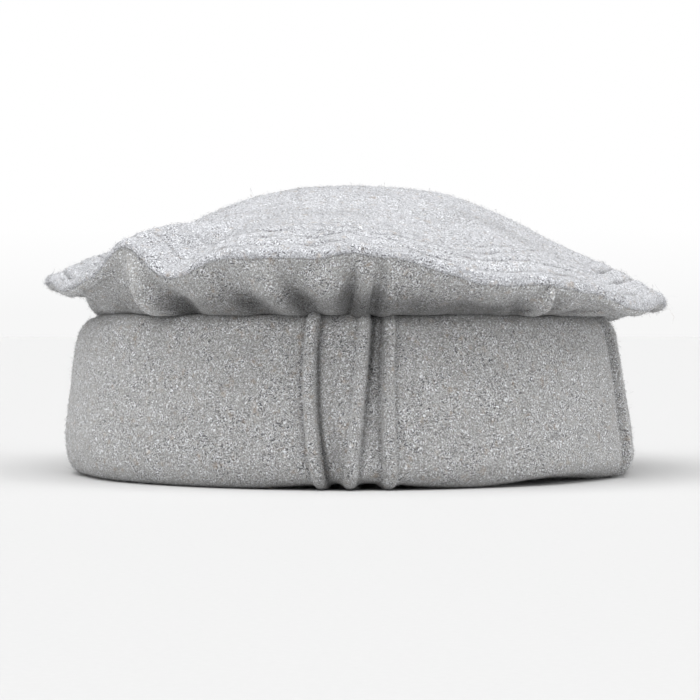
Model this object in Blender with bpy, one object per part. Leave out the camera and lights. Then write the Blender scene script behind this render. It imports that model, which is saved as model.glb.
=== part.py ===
"""Pakol: a soft round wool cap with a domed, drooping crown and a thick rolled band.

The cap is two pieces of cloth. The crown disc is the round top with its thick seamed rim. The sleeve is
one tube: it leaves the seam under the rim, gathers in as the neck, hangs as the inner wall round the head,
turns out at the foot and is rolled up outside the wall as the band. Pintucks stand out on the band.

Axes: +X to the wearer's left as seen from the front, -Y to the front, +Z up. The band rests on Z = 0.
"""

import math
from collections import namedtuple

import bmesh
import bpy

# Driving sizes, in metres
HEAD_ROUND = 0.590      # round the head, along the inner face of the wall
CLOTH = 0.003           # one thickness of fulled wool
ROLL_WIDE = 0.0185      # from the middle of the wall cloth to the middle of the outermost turn
BAND_HIGH = 0.0630      # the rolled band, foot to top
CROWN_ROUND = 0.1259    # radius of the crown at its rim
CROWN_HIGH = 0.0534     # the dome's top above the band's top
RIM_UP = 0.0090         # the rim's mean height above the band's top
RIM_THICK = 0.0062      # the rim, with the seam allowance folded inside it
RIM_DEEP = 0.0066       # how far in from the edge the thick rim goes
RIM_FOLD = 0.0110       # the highest fold of the rim
NECK_FOLD = 0.0032      # the deepest fold of the neck
RIB_OUT = 0.0028        # a pintuck, off the face of the band
RIB_HALF = 0.0023       # half the width of a pintuck
FOOT_LIFT = 0.0012      # how far the foot arches up between pintucks
SEAM_GAP = 0.0004       # between the rim and the sleeve's edge sewn to it
CROWN_SHIFT = 0.0024    # the crown sits this far to the side of the band

# Spacing of the cross sections round the cap, in degrees
FRONT_STEP = 4.4
BACK_STEP = 9.0
FRONT_HALF = 95.0

# Azimuths are in degrees, zero at the front and rising towards +X.

# The dome: `out` is a share of the crown's radius, `drop` a share of the height from the top to the rim
Dome = namedtuple("Dome", "out drop")
DOME_ROWS = [
    Dome(0.16, 0.03),
    Dome(0.34, 0.12),
    Dome(0.50, 0.30),
    Dome(0.66, 0.515),
    Dome(0.80, 0.71),
    Dome(0.89, 0.835),
]

# The rim: `lean` is a share of RIM_UP, over the whole turn
RIM_LEAN_FRONT = 0.62
RIM_LEAN_SIDE = -0.46

# Folds of the rim: `lift` is a share of RIM_FOLD
RimFold = namedtuple("RimFold", "azimuth half_width lift")
RIM_FOLDS = [
    RimFold(-64.0, 14.0, -0.24),
    RimFold(-43.0, 10.5, 0.72),
    RimFold(-31.0, 8.0, -0.10),
    RimFold(-19.0, 13.0, 0.86),
    RimFold(-4.0, 10.0, 0.60),
    RimFold(7.0, 12.0, 0.86),
    RimFold(24.0, 12.0, 0.06),
    RimFold(38.0, 11.0, 0.14),
    RimFold(60.0, 18.0, -0.46),
    RimFold(86.0, 15.0, -0.12),
    RimFold(114.0, 18.0, 0.25),
    RimFold(138.0, 17.0, -0.28),
    RimFold(170.0, 20.0, 0.36),
    RimFold(-158.0, 15.0, -0.22),
    RimFold(-126.0, 20.0, 0.28),
]

# Slack and puffs of the dome: `out` and `reach` are shares of the crown's radius, `lift` of RIM_FOLD
Puff = namedtuple("Puff", "azimuth half_width out reach lift")
PUFFS = [
    Puff(-74.0, 70.0, 0.62, 0.32, -0.27),
    Puff(92.0, 60.0, 0.86, 0.22, 0.16),
    Puff(150.0, 60.0, 0.62, 0.32, -0.16),
]

# Folds of the neck: `push` is a share of NECK_FOLD, outwards where positive
NeckFold = namedtuple("NeckFold", "foot head half_width push")
NECK_FOLDS = [
    NeckFold(-72.0, -72.0, 9.0, -0.60),
    NeckFold(-51.0, -51.0, 7.5, 0.90),
    NeckFold(-36.0, -37.0, 9.0, -1.00),
    NeckFold(-12.5, -18.0, 6.0, 0.70),
    NeckFold(-7.5, -11.0, 5.0, -0.60),
    NeckFold(20.0, 21.0, 10.0, -0.55),
    NeckFold(42.0, 42.0, 5.5, 0.70),
    NeckFold(62.0, 60.0, 11.0, -0.50),
    NeckFold(90.0, 88.0, 10.0, 0.60),
    NeckFold(120.0, 122.0, 12.0, -0.80),
    NeckFold(150.0, 148.0, 11.0, 0.75),
    NeckFold(178.0, 180.0, 12.0, -0.70),
    NeckFold(-152.0, -150.0, 11.0, 0.75),
    NeckFold(-122.0, -120.0, 12.0, -0.80),
    NeckFold(-94.0, -92.0, 10.0, 0.60),
]

# Pintucks: azimuths at the band's top, half way down and at the foot; `neck` is the share of RIB_OUT that
# goes on up the neck
Rib = namedtuple("Rib", "top middle foot out neck")
RIBS = [
    Rib(-7.0, -7.5, -5.4, 1.0, 0.0),
    Rib(3.1, 1.6, 0.0, 1.0, 0.7),
    Rib(7.7, 7.0, 7.4, 0.85, 0.3),
    Rib(68.0, 69.0, 69.0, 1.0, 0.0),
]

# Outer face of the band: `up` is a share of the cloth's way from the foot to the band's top, `left` and
# `right` are shares of ROLL_WIDE at the two sides, and `rib` is the share of a pintuck's height there
Face = namedtuple("Face", "up left right rib")
FACE_ROWS = [
    Face(0.08, 0.94, 1.00, 0.85),
    Face(0.20, 0.99, 0.96, 1.0),
    Face(0.36, 0.96, 0.89, 1.0),
    Face(0.52, 0.91, 0.82, 1.0),
    Face(0.68, 0.86, 0.76, 1.0),
    Face(0.82, 0.79, 0.70, 0.9),
]

# Turns of the roll: `across` is a share of the roll's width from the wall to the outer face
Turn = namedtuple("Turn", "across up rib")
WALL_ROWS = [
    Turn(0.0, 0.90, 0.0),
    Turn(0.0, 0.45, 0.0),
    Turn(0.0, 0.12, 0.0),
]
FOOT_ROWS = [
    Turn(0.07, 0.03, 0.0),
    Turn(0.24, 0.0, 0.0),
    Turn(0.70, 0.0, 0.35),
    Turn(0.88, 0.022, 0.7),
]
TOP_ROWS = [
    Turn(0.93, 0.895, 0.6),
    Turn(0.80, 0.95, 0.3),
    Turn(0.58, 0.985, 0.0),
    Turn(0.41, 0.98, 0.0),
]
INNER_ROWS = [
    Turn(0.335, 0.90, 0.0),
    Turn(0.33, 0.18, 0.0),
    Turn(0.43, 0.115, 0.0),
    Turn(0.58, 0.115, 0.0),
    Turn(0.67, 0.18, 0.0),
    Turn(0.67, 0.78, 0.0),
]

# The neck between the band's top and the rim's seam: `out` and `up` are shares of that way, `fold` and `rib`
# the shares of the neck's folds and pintucks there
Neck = namedtuple("Neck", "out up fold rib")
NECK_ROWS = [
    Neck(0.72, 0.88, 0.55, 0.7),
    Neck(0.46, 0.52, 1.0, 1.0),
    Neck(0.22, 0.16, 0.8, 0.7),
]
FOLD_OUT = 0.6          # a fold of the neck pushes the cloth this share outwards
FOLD_DOWN = 0.8         # and this share down
CREASE_ACROSS = 0.24    # where the neck crosses the band's top, as a share of the roll's width
CREASE_UP = 0.75        # the neck there above the band's top, as a share of the cloth
RIB_BEND = 0.85         # above this share of the band's height the pintucks follow the turn of the cloth
BAND_TOP_LEAN = 0.020   # the band is this share of its height taller at the front than at the back

ARCH_AZIMUTH = 46.0     # the foot's shallow arch at the front right, in degrees
ARCH_HALF = 26.0

FOLD_START = 0.45       # the rim's folds start this share of the radius from the middle,
FOLD_FULL = 1.00        # have their full height from this share on,
FOLD_SPREAD = 0.6       # and grow this much wider, in degrees, towards the middle
CROWN_GREY = (0.56, 0.58, 0.60)
SLEEVE_GREY = (0.36, 0.36, 0.37)


def mix(first, second, share):
    """Point a share of the way from one value to another."""
    return first + (second - first) * share


def swell(azimuth, centre, half_width):
    """Share of a round fold's height at an azimuth: one at its centre, none past its half width."""
    off = abs((azimuth - centre + 180.0) % 360.0 - 180.0)
    if off >= half_width:
        return 0.0
    return 0.5 + 0.5 * math.cos(math.pi * off / half_width)


def hill(at, centre, reach):
    """Share of a round rise at a place along a line: one at its centre, none past its reach."""
    off = min(abs(at - centre) / reach, 1.0)
    return 0.5 + 0.5 * math.cos(math.pi * off)


def follow(places, values, at):
    """Value at a place, straight between the rows of a table."""
    for i in range(1, len(places)):
        if at <= places[i] or i == len(places) - 1:
            share = (at - places[i - 1]) / (places[i] - places[i - 1])
            return mix(values[i - 1], values[i], min(max(share, 0.0), 1.0))
    return values[-1]


def wall_radius():
    """Radius of the middle of the wall cloth."""
    return HEAD_ROUND / (2.0 * math.pi) + CLOTH / 2.0


def band_top(azimuth):
    """Height of the band's top."""
    return BAND_HIGH * (1.0 - BAND_TOP_LEAN * (1.0 - math.cos(math.radians(azimuth))) / 2.0)


def crown_fold(out, azimuth):
    """Height that the folds of the rim, wider further in, and the puffs of the dome add to the crown."""
    start = min(max((out - FOLD_START) / (FOLD_FULL - FOLD_START), 0.0), 1.0)
    reach = start * start * (3.0 - 2.0 * start)
    spread = 1.0 + FOLD_SPREAD * (1.0 - out)
    folds = sum(fold.lift * swell(azimuth, fold.azimuth, spread * fold.half_width) for fold in RIM_FOLDS)
    puffs = sum(
        puff.lift * swell(azimuth, puff.azimuth, puff.half_width) * hill(out, puff.out, puff.reach)
        for puff in PUFFS
    )
    return RIM_FOLD * (reach * folds + puffs)


def rim_height(azimuth):
    """Height of the middle of the rim without its folds."""
    turn = math.radians(azimuth)
    return BAND_HIGH + RIM_UP * (1.0 + RIM_LEAN_FRONT * math.cos(turn) + RIM_LEAN_SIDE * math.sin(turn))


def crown_top(out, drop, azimuth):
    """Radius and height of the crown's upper face."""
    summit = BAND_HIGH + CROWN_HIGH
    edge = rim_height(azimuth) + RIM_THICK / 2.0
    return out * CROWN_ROUND, mix(summit, edge, drop) + crown_fold(out, azimuth)


def rib_azimuth(rib, up):
    """Azimuth of a pintuck at a share of the band's height."""
    return follow([0.0, 0.5, 1.0], [rib.foot, rib.middle, rib.top], up)


def rib_half_angle():
    """Half the width of a pintuck, in degrees round the band."""
    return math.degrees(RIB_HALF / (wall_radius() + ROLL_WIDE))


def column_azimuths():
    """Azimuths of the cross sections: five to a pintuck, and even steps between pintucks."""
    half = rib_half_angle()
    columns = [rib.middle + half * share for rib in RIBS for share in (-1.0, -0.6, 0.0, 0.6, 1.0)]
    stops = sorted(columns + [-FRONT_HALF, FRONT_HALF])
    stops.append(stops[0] + 360.0)
    azimuths = []
    for start, end in zip(stops, stops[1:]):
        step = BACK_STEP if start >= FRONT_HALF else FRONT_STEP
        count = max(round((end - start) / step), 1)
        azimuths.extend(mix(start, end, i / count) for i in range(count))
    return azimuths


def shifted_azimuth(azimuth, up):
    """Azimuth of a cross section at a share of the band's height, where it keeps to its pintuck."""
    half = rib_half_angle()
    places = [-180.0]
    values = [-180.0]
    for rib in RIBS:
        moved = rib_azimuth(rib, up)
        if rib.middle - half - places[-1] > 4.0 * FRONT_STEP:
            places.append(rib.middle - half - 2.0 * FRONT_STEP)
            values.append(places[-1])
        places += [rib.middle - half, rib.middle + half]
        values += [moved - half, moved + half]
    places += [places[-1] + 2.0 * FRONT_STEP, 180.0]
    values += [places[-2], 180.0]
    turned = (azimuth + 180.0) % 360.0 - 180.0
    return follow(places, values, turned)


def rib_heights(azimuth, up):
    """Heights of a pintuck off the band and off the neck at an azimuth."""
    half = rib_half_angle()
    for rib in RIBS:
        offset = (azimuth - rib_azimuth(rib, up) + 180.0) % 360.0 - 180.0
        if abs(offset) < half:
            height = RIB_OUT * math.sqrt(1.0 - (offset / half) ** 2)
            return rib.out * height, rib.neck * height
    return 0.0, 0.0


def foot_arch(azimuth):
    """How far the foot lifts off the ground between the front pintucks and in the arch beside them."""
    first = RIBS[0].foot
    last = RIBS[2].foot
    near = swell(azimuth, mix(first, last, 0.5), 2.0 * (last - first))
    on_rib = max(swell(azimuth, rib.foot, 2.6) for rib in RIBS[:3])
    beside = swell(azimuth, ARCH_AZIMUTH, ARCH_HALF)
    return FOOT_LIFT * (near * (1.0 - on_rib) + beside)


def face_width(row, azimuth):
    """Width of the roll at a row of its outer face."""
    right = 0.5 + 0.5 * math.sin(math.radians(azimuth))
    return ROLL_WIDE * mix(row.left, row.right, right)


def roll_width(up, azimuth):
    """Width of the roll at a share of the band's height."""
    return follow([row.up for row in FACE_ROWS], [face_width(row, azimuth) for row in FACE_ROWS], up)


def band_height(up, azimuth):
    """Height of the middle of the cloth at a share of the way from the foot to the band's top."""
    return CLOTH / 2.0 + up * (band_top(azimuth) - CLOTH)


# A place on the middle of the sleeve's cloth: `up` is its share of the band's height, `rib` and `neck_rib`
# are the shares of a pintuck's height there on the outer faces of band and neck, and `lean` is the share of
# the way from the band's middle to the crown's
Station = namedtuple("Station", "radius height up rib neck_rib lean")


def turn_station(row, azimuth):
    """Middle of the cloth at a row of the wall, foot, top or inner turns."""
    radius = wall_radius() + row.across * roll_width(row.up, azimuth)
    return Station(radius, band_height(row.up, azimuth), row.up, row.rib, 0.0, 0.0)


def face_station(row, azimuth):
    """Middle of the cloth at a row of the outer face."""
    radius = wall_radius() + face_width(row, azimuth)
    return Station(radius, band_height(row.up, azimuth), row.up, row.rib, 0.0, 0.0)


def seam_station(azimuth):
    """Middle of the sleeve's edge, where it meets the thick rim from inside."""
    radius = CROWN_ROUND - RIM_DEEP - SEAM_GAP
    height = rim_height(azimuth) + crown_fold(1.0, azimuth) - RIM_THICK / 2.0 + CLOTH / 2.0
    return Station(radius, height, 1.0, 0.0, 0.0, 1.0)


def neck_stations(azimuth):
    """Middle of the cloth from the seam down the folded neck to where it meets the band's top."""
    seam = seam_station(azimuth)
    crease_radius = wall_radius() + CREASE_ACROSS * roll_width(1.0, azimuth)
    crease = Station(crease_radius, band_top(azimuth) + CREASE_UP * CLOTH, 1.0, 0.0, 0.0, 0.0)
    stations = [seam]
    for row in NECK_ROWS:
        push = sum(
            fold.push * swell(azimuth, mix(fold.foot, fold.head, row.up), fold.half_width)
            for fold in NECK_FOLDS
        )
        push *= NECK_FOLD * row.fold
        radius = mix(crease.radius, seam.radius, row.out) + FOLD_OUT * push
        height = mix(crease.height, seam.height, row.up) - FOLD_DOWN * push
        stations.append(Station(radius, height, 1.0, 0.0, row.rib, row.out))
    stations.append(crease)
    return stations


def sleeve_stations(azimuth):
    """Middle of the sleeve's cloth in one cross section, from the seam to the end inside the roll."""
    stations = neck_stations(azimuth)
    stations += [turn_station(row, azimuth) for row in WALL_ROWS + FOOT_ROWS]
    stations += [face_station(row, azimuth) for row in FACE_ROWS]
    stations += [turn_station(row, azimuth) for row in TOP_ROWS + INNER_ROWS]
    return stations


def side_steps(stations):
    """Unit step from the band's outer face into the cloth at each station, lengthened at corners."""
    steps = [(0.0, -1.0)]
    for i in range(1, len(stations)):
        before = stations[max(i - 1, 0)]
        here = stations[i]
        after = stations[min(i + 1, len(stations) - 1)]
        ways = []
        for a, b in ((before, here), (here, after)):
            length = math.hypot(b.radius - a.radius, b.height - a.height)
            if length > 0.0:
                ways.append(((b.height - a.height) / -length, (b.radius - a.radius) / length))
        across = sum(way[0] for way in ways)
        along = sum(way[1] for way in ways)
        size = math.hypot(across, along)
        corner = max(size / len(ways), 0.8)
        steps.append((across / size / corner, along / size / corner))
    return steps


def place(radius, height, azimuth, shift):
    """World position of a point of a cross section whose middle lies to the side of the crown's."""
    turn = math.radians(azimuth)
    return (radius * math.sin(turn) - shift, -radius * math.cos(turn), height)


def ring_solid(name, rings, material, poles):
    """Closed solid through rings of points; poles closes the first and last ring each to a point."""
    mesh = bmesh.new()
    rows = [[mesh.verts.new(point) for point in ring] for ring in rings]
    pairs = list(zip(rows, rows[1:]))
    if not poles:
        pairs.append((rows[-1], rows[0]))
    for first, second in pairs:
        count = max(len(first), len(second))
        for j in range(count):
            k = (j + 1) % count
            if len(first) == 1:
                mesh.faces.new((first[0], second[j], second[k]))
            elif len(second) == 1:
                mesh.faces.new((first[j], second[0], first[k]))
            else:
                mesh.faces.new((first[j], second[j], second[k]))
                mesh.faces.new((first[j], second[k], first[k]))
    bmesh.ops.recalc_face_normals(mesh, faces=mesh.faces)
    data = bpy.data.meshes.new(name)
    mesh.to_mesh(data)
    mesh.free()
    data.materials.append(material)
    solid = bpy.data.objects.new(name, data)
    bpy.context.scene.collection.objects.link(solid)
    return solid


def wool(name, colour):
    """Plain fulled wool."""
    material = bpy.data.materials.new(name)
    material.use_nodes = True
    shader = material.node_tree.nodes["Principled BSDF"]
    shader.inputs["Base Color"].default_value = (*colour, 1.0)
    shader.inputs["Roughness"].default_value = 0.95
    shader.inputs["Metallic"].default_value = 0.0
    return material


def crown_section(azimuth):
    """Radius and height round one cross section of the crown, from the top's middle to the under side's."""
    upper = [crown_top(row.out, row.drop, azimuth) for row in DOME_ROWS]
    rim = rim_height(azimuth) + crown_fold(1.0, azimuth)
    inner = CROWN_ROUND - RIM_DEEP
    shoulder = crown_top(1.0 - RIM_THICK / 2.0 / CROWN_ROUND, 1.0, azimuth)
    step_top = mix(shoulder[1], upper[-1][1], (shoulder[0] - inner) / (shoulder[0] - upper[-1][0]))
    under = []
    path = upper + [shoulder]
    for i in range(1, len(path) - 1, 2):
        run = path[i + 1][0] - path[i - 1][0]
        fall = path[i - 1][1] - path[i + 1][1]
        under.append((path[i][0], path[i][1] - CLOTH * math.hypot(run, fall) / run))
    edge_run = shoulder[0] - upper[-1][0]
    edge_fall = upper[-1][1] - shoulder[1]
    step_under = step_top - CLOTH * math.hypot(edge_run, edge_fall) / edge_run
    edge = [
        shoulder,
        (CROWN_ROUND - 0.15 * RIM_THICK, rim + 0.26 * RIM_THICK),
        (CROWN_ROUND, rim - 0.05 * RIM_THICK),
        (CROWN_ROUND - 0.22 * RIM_THICK, rim - 0.40 * RIM_THICK),
        (inner, rim - RIM_THICK / 2.0),
        (inner, step_under),
    ]
    return upper + edge + under[::-1]


def crown_disc():
    """Round top of the cap: a domed disc of cloth with a thick rim."""
    azimuths = column_azimuths()
    sections = [crown_section(azimuth) for azimuth in azimuths]
    rings = [
        [place(*section[i], azimuth, 0.0) for section, azimuth in zip(sections, azimuths)]
        for i in range(len(sections[0]))
    ]
    summit = BAND_HIGH + CROWN_HIGH
    rings.insert(0, [(0.0, 0.0, summit)])
    rings.append([(0.0, 0.0, summit - CLOTH)])
    return ring_solid("crown_disc", rings, wool("pale_wool", CROWN_GREY), True)


def sleeve_section(azimuth):
    """World points round one cross section: along the side that ends as the band's face, and back."""
    stations = sleeve_stations(azimuth)
    face = []
    back = []
    for i, (station, step) in enumerate(zip(stations, side_steps(stations))):
        turned = shifted_azimuth(azimuth, station.up) if i > 0 else azimuth
        band_rib, neck_rib = rib_heights(turned, station.up)
        lift = band_rib * station.rib
        push = neck_rib * station.neck_rib
        shift = CROWN_SHIFT * (1.0 - station.lean)
        radius = station.radius - step[0] * CLOTH / 2.0
        height = station.height - step[1] * CLOTH / 2.0
        if station.up > RIB_BEND:
            radius -= lift * step[0]
            height -= lift * step[1]
        else:
            radius += lift
        if station.up == 0.0:
            height = foot_arch(turned)
        face.append(place(radius, height, turned, shift))
        half = CLOTH / 2.0 + push
        back.append(place(station.radius + step[0] * half, station.height + step[1] * half, turned, shift))
    return face + back[::-1]


def rolled_sleeve():
    """Side of the cap: the neck, the wall round the head and the rolled band, in one cloth."""
    sections = [sleeve_section(azimuth) for azimuth in column_azimuths()]
    rings = [list(ring) for ring in zip(*sections)]
    return ring_solid("rolled_sleeve", rings, wool("grey_wool", SLEEVE_GREY), False)


def main():
    """Clear the scene and build the cap."""
    for thing in list(bpy.data.objects):
        bpy.data.objects.remove(thing, do_unlink=True)
    crown_disc()
    rolled_sleeve()


main()
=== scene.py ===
"""Pakol: the dressed model of a soft round wool cap with a rolled edge.

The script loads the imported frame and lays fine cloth, stitching and loose wool over it, one operator to a
piece or group of like pieces. Lengths are in metres. Azimuths are in degrees, zero at the front and rising
towards +X.
"""

from collections import namedtuple

import bmesh
import bpy
import numpy as np
from bpy.props import FloatProperty, FloatVectorProperty, IntProperty, PointerProperty
from bpy.types import Operator, Panel, PropertyGroup
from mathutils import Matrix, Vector, noise


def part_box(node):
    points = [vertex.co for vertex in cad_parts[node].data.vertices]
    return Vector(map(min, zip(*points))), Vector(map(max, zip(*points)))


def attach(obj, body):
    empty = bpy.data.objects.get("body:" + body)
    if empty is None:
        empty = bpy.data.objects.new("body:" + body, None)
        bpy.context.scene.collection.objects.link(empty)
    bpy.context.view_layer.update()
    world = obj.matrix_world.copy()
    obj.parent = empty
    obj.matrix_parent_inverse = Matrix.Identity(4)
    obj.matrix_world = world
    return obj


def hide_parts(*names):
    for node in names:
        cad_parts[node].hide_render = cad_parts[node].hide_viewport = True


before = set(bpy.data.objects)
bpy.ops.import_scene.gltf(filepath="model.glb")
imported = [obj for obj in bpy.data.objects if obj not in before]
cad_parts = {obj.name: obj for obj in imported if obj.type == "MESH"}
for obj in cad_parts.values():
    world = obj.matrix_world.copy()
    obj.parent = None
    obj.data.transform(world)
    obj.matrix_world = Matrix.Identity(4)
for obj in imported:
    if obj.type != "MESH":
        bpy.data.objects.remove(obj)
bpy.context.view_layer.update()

bl_info = {
    "name": "Pakol",
    "version": (1, 0, 0),
    "blender": (4, 5, 0),
    "location": "3D View > Sidebar > Pakol",
    "description": "Lays cloth, stitching and loose wool over the packed model of a pakol",
    "category": "Object",
}

# Shape of the dome: share of the crown's radius, and share of the drop from the top to the rim
DOME_OUT = [0.0, 0.16, 0.34, 0.50, 0.66, 0.80, 0.89, 1.0]
DOME_DROP = [0.0, 0.03, 0.12, 0.30, 0.515, 0.71, 0.835, 1.0]
RIM_LEAN_FRONT = 0.62   # the rim stands this share of its mean height higher at the front,
RIM_LEAN_SIDE = -0.46   # and this share at the right
RIM_UNDER = 0.32        # share of the rim's thickness below its middle, where the sleeve is sewn on
DOME_LAYERS = 1.25      # the dome's underside lies this many thicknesses of cloth below its upper face
FOLD_START = 0.45       # the rim's folds start this share of the radius from the middle,
FOLD_FULL = 1.00        # have their full height from this share on,
FOLD_SPREAD = 0.6       # and are this share wider at the middle

# Folds of the rim: `lift` is a share of the highest fold
RimFold = namedtuple("RimFold", "azimuth half_width lift")
RIM_FOLDS = [RimFold(*row) for row in (
    (-64.0, 12.0, -0.40), (-43.8, 10.0, 1.00), (-31.5, 6.0, -0.10), (-21.0, 13.0, 0.59),
    (-9.0, 11.5, 0.60), (-1.0, 6.5, 0.28), (5.5, 15.0, 0.72), (17.0, 6.0, 0.12), (34.0, 9.0, 0.12),
    (60.0, 18.0, -0.46), (86.0, 15.0, -0.12), (114.0, 18.0, 0.25), (138.0, 17.0, -0.28),
    (170.0, 20.0, 0.36), (-158.0, 15.0, -0.22), (-126.0, 20.0, 0.28),
)]

# Slack and puffs of the dome: `out` and `reach` are shares of the crown's radius
Puff = namedtuple("Puff", "azimuth half_width out reach lift")
PUFFS = [
    Puff(-74.0, 70.0, 0.62, 0.32, -0.27),
    Puff(92.0, 60.0, 0.86, 0.22, 0.16),
    Puff(150.0, 60.0, 0.62, 0.32, -0.16),
]

# Folds of the neck: `push` is a share of the deepest fold, outwards where positive
NeckFold = namedtuple("NeckFold", "foot head half_width push")
NECK_FOLDS = [NeckFold(*row) for row in (
    (-73.0, -73.0, 9.0, -0.05), (-54.0, -52.0, 5.0, -0.25), (-42.2, -40.8, 5.2, 1.05),
    (-34.2, -35.2, 6.0, -1.00), (-26.0, -28.0, 7.0, 0.15), (-16.5, -24.0, 3.8, -0.40),
    (-11.2, -17.0, 4.2, 0.58), (-7.2, -12.0, 3.2, -0.50), (-4.0, -5.8, 3.8, 0.50),
    (-1.6, -1.4, 2.0, -0.60), (3.7, 3.5, 1.4, -0.50), (8.0, 8.0, 4.5, 0.30), (24.5, 22.5, 10.0, -0.56),
    (35.6, 30.2, 3.2, -0.60), (39.2, 34.2, 2.6, 0.88), (42.8, 38.0, 2.4, -0.50),
    (45.5, 54.5, 3.2, -0.60), (58.0, 61.0, 9.0, 0.40), (90.0, 88.0, 10.0, 0.25),
    (120.0, 122.0, 12.0, -0.80), (150.0, 148.0, 11.0, 0.75), (178.0, 180.0, 12.0, -0.70),
    (-152.0, -150.0, 11.0, 0.75), (-122.0, -120.0, 12.0, -0.80), (-94.0, -92.0, 10.0, 0.10),
)]

# Azimuths of the neck's narrow folds, which need cross sections as close as the pintucks do
FINE_FOLDS = [36.5]
PINTUCK_REACH = 2.2     # the cross sections stay that close for this many degrees to each side

# Pintucks: azimuths at the band's top, half way down and at the foot. `neck` is the share that goes on up;
# `left`, `right` and `foot_right` say how much shade is painted beside the pintuck: at its left, and at its
# right at the top and at the foot
Rib = namedtuple("Rib", "top middle foot out neck left right foot_right")
RIBS = [
    Rib(-7.0, -7.5, -5.4, 1.0, 0.0, 0.12, 0.50, 0.75),
    Rib(3.1, 1.6, 0.0, 1.0, 0.75, 0.0, 0.55, 0.15),
    Rib(7.7, 7.0, 7.4, 0.85, 0.35, 0.12, 0.04, 0.04),
    Rib(68.0, 69.0, 69.0, 1.0, 0.0, 0.10, 0.20, 0.20),
]
# Degrees by which the pintucks of the neck lie to the left of the band's
NECK_RIB_TURN = 1.6

# Cross section of the sleeve's cloth from the seam to the end inside the roll. `across` is a share of the
# roll's width from the wall to the outer face, `up` a share of the band's height, `rib` the pintucks' share
Turn = namedtuple("Turn", "across up rib")
WALL_ROWS = [Turn(0.0, 0.90, 0.0), Turn(0.0, 0.45, 0.0), Turn(0.0, 0.12, 0.0)]
FOOT_ROWS = [Turn(0.07, 0.03, 0.0), Turn(0.24, 0.0, 0.0), Turn(0.70, 0.0, 0.4), Turn(0.88, 0.022, 0.8)]
TOP_ROWS = [Turn(0.93, 0.895, 0.9), Turn(0.80, 0.95, 0.75), Turn(0.58, 0.985, 0.6), Turn(0.41, 0.98, 0.5)]
INNER_ROWS = [
    Turn(0.335, 0.90, 0.0),
    Turn(0.33, 0.18, 0.0),
    Turn(0.43, 0.115, 0.0),
    Turn(0.58, 0.115, 0.0),
    Turn(0.67, 0.18, 0.0),
    Turn(0.67, 0.78, 0.0),
]
Face = namedtuple("Face", "up left right rib")
FACE_ROWS = [
    Face(0.08, 0.94, 1.00, 0.85),
    Face(0.20, 0.99, 0.96, 1.0),
    Face(0.36, 0.96, 0.89, 1.0),
    Face(0.52, 0.91, 0.82, 1.0),
    Face(0.68, 0.86, 0.74, 1.0),
    Face(0.82, 0.79, 0.65, 1.0),
]
# The neck hangs out over the roll at the front and goes in more at the sides; `lean` is the share of the way
# up along the cloth
Neck = namedtuple("Neck", "out up front_out front_up lean fold rib")
NECK_ROWS = [
    Neck(0.82, 1.00, 0.94, 0.80, 0.96, 0.35, 0.6),
    Neck(0.60, 0.85, 0.80, 0.52, 0.82, 0.85, 1.0),
    Neck(0.39, 0.48, 0.58, 0.22, 0.44, 1.0, 1.0),
    Neck(0.22, 0.13, 0.33, 0.02, 0.07, 0.6, 0.8),
]
# Numbers of the cross section's places at the crease, the foot and the band's top; the seam has two places
CREASE_STATION = 2 + len(NECK_ROWS)
FOOT_STATION = CREASE_STATION + len(WALL_ROWS) + 1
TOP_STATION = FOOT_STATION + len(FOOT_ROWS) + len(FACE_ROWS)
SEAM_IN = 0.0021        # from the crown's edge in to the seam
SEAM_UP = 0.0008        # the sleeve's edge is sewn this far up into the rim
SEAM_FALL = 0.0012      # and hangs this far below it before the neck turns in
SIDE_SLACK = 0.0030     # the neck hangs out this much further at the right side
LEFT_TAUT = 1.44        # how hard the neck is drawn up at the left side, most half way up
FOLD_OUT = 1.0          # a fold of the neck pushes the cloth this share outwards
FOLD_DOWN = 0.10        # and this share down
CREASE_ACROSS = 0.20    # where the neck crosses the band's top, as a share of the roll's width
CREASE_UP = -0.04       # the neck there above the band's top, as a share of the cloth
BAND_TOP_LEAN = 0.020   # the band is this share of its height taller at the front than at the back
ARCH_AZIMUTH = 46.0     # the foot's shallow arch at the front right, in degrees
ARCH_HALF = 26.0

# Lie of the band's face beside the pintucks: azimuths half way up, and heights off the face in metres
LIE_AZIMUTHS = [-16.0, -9.2, -8.6, -6.2, -3.5, -0.8, 0.5, 2.8, 5.8, 8.2, 12.0, 18.0]
LIE_HEIGHTS = [0.0, 0.0, 0.0001, -0.0009, -0.0008, 0.0006, 0.0014, -0.0010, -0.0010, 0.0007, 0.0005, 0.0]

# Unevenness of soft cloth: the height of its lumps and their size, in metres
Lump = namedtuple("Lump", "height grain seed")
CROWN_SLACK = Lump(0.0012, 0.034, 3.1)
CROWN_LUMPS = [Lump(0.0005, 0.012, 8.4), Lump(0.00022, 0.0042, 5.7)]
CROWN_GATHERS = Lump(0.00055, 0.0052, 4.3)
RIM_LUMPS = [Lump(0.00045, 0.010, 2.2), Lump(0.00025, 0.0035, 6.6)]
BAND_LUMPS = [Lump(0.0009, 0.030, 4.4), Lump(0.0005, 0.011, 1.9)]
NECK_GATHERS = Lump(0.0011, 0.075, 7.3)
NECK_LUMPS = [Lump(0.0006, 0.010, 9.1), Lump(0.0003, 0.004, 2.6)]


def linear(code):
    """Linear colour of an sRGB hex value."""
    shares = [int(code[i:i + 2], 16) / 255.0 for i in (1, 3, 5)]
    return [s / 12.92 if s <= 0.04045 else ((s + 0.055) / 1.055) ** 2.4 for s in shares]


def length_setting(name, default, description):
    """Setting that holds a length in metres."""
    return FloatProperty(name=name, description=description, default=default, unit="LENGTH", precision=5)


def count_setting(name, default, description):
    """Setting that holds a number of things."""
    return IntProperty(name=name, description=description, default=default, min=0)


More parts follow.
